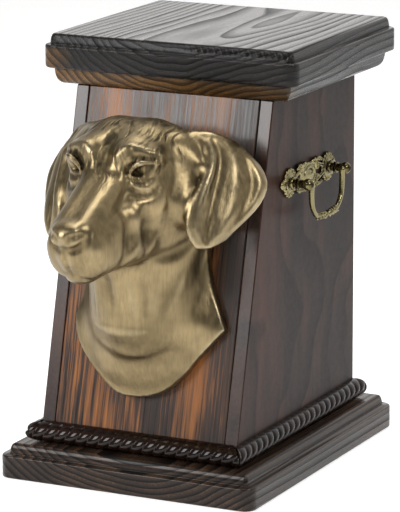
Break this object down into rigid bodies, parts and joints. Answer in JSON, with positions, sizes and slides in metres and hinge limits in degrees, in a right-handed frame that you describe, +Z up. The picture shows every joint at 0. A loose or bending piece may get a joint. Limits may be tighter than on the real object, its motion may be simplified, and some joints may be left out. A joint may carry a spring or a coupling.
{
  "type": "pet cremation urn",
  "caption": "Tapered dark wooden box urn with a lift-off lid, rope mouldings, swinging bail handles and a cast bronze dog's head on its sloping front.",
  "frame": {"origin": "centre of the underside of the base board, below the middle of the box's width", "axes": "+Z up, -Y towards the sloping front with the dog's head, +X to the urn's right as seen from the front"},
  "size_m": [0.181, 0.2949, 0.28],
  "materials": {
    "stained_wood": "dark walnut-brown stain under gloss lacquer",
    "cast_bronze": "brushed olive-gold bronze with dark patina in the recesses",
    "antique_brass": "polished antique brass with dark recesses"
  },
  "bodies": {
    "urn": {"base_board": "stained_wood", "rope_moulding_front": "stained_wood", "rope_moulding_right": "stained_wood", "rope_moulding_back": "stained_wood", "rope_moulding_left": "stained_wood", "side_board_right": "stained_wood", "side_board_left": "stained_wood", "front_panel": "stained_wood", "back_panel": "stained_wood", "lid": "stained_wood", "dog_head_relief": "cast_bronze", "handle_plate_right": "antique_brass", "handle_post_right_front": "antique_brass", "handle_post_right_rear": "antique_brass", "handle_plate_left": "antique_brass", "handle_post_left_front": "antique_brass", "handle_post_left_rear": "antique_brass"},
    "bail_right": {"handle_bail_right": "antique_brass"},
    "bail_left": {"handle_bail_left": "antique_brass"}
  },
  "joints": [
    {"name": "bail_right_swing", "type": "hinge", "parent": "urn", "child": "bail_right", "pos_m": [0.084, 0.015, 0.19], "axis": [0, -1, 0], "range_deg": [-15, 160]},
    {"name": "bail_left_swing", "type": "hinge", "parent": "urn", "child": "bail_left", "pos_m": [-0.084, 0.015, 0.19], "axis": [0, 1, 0], "range_deg": [-15, 160]}
  ]
}
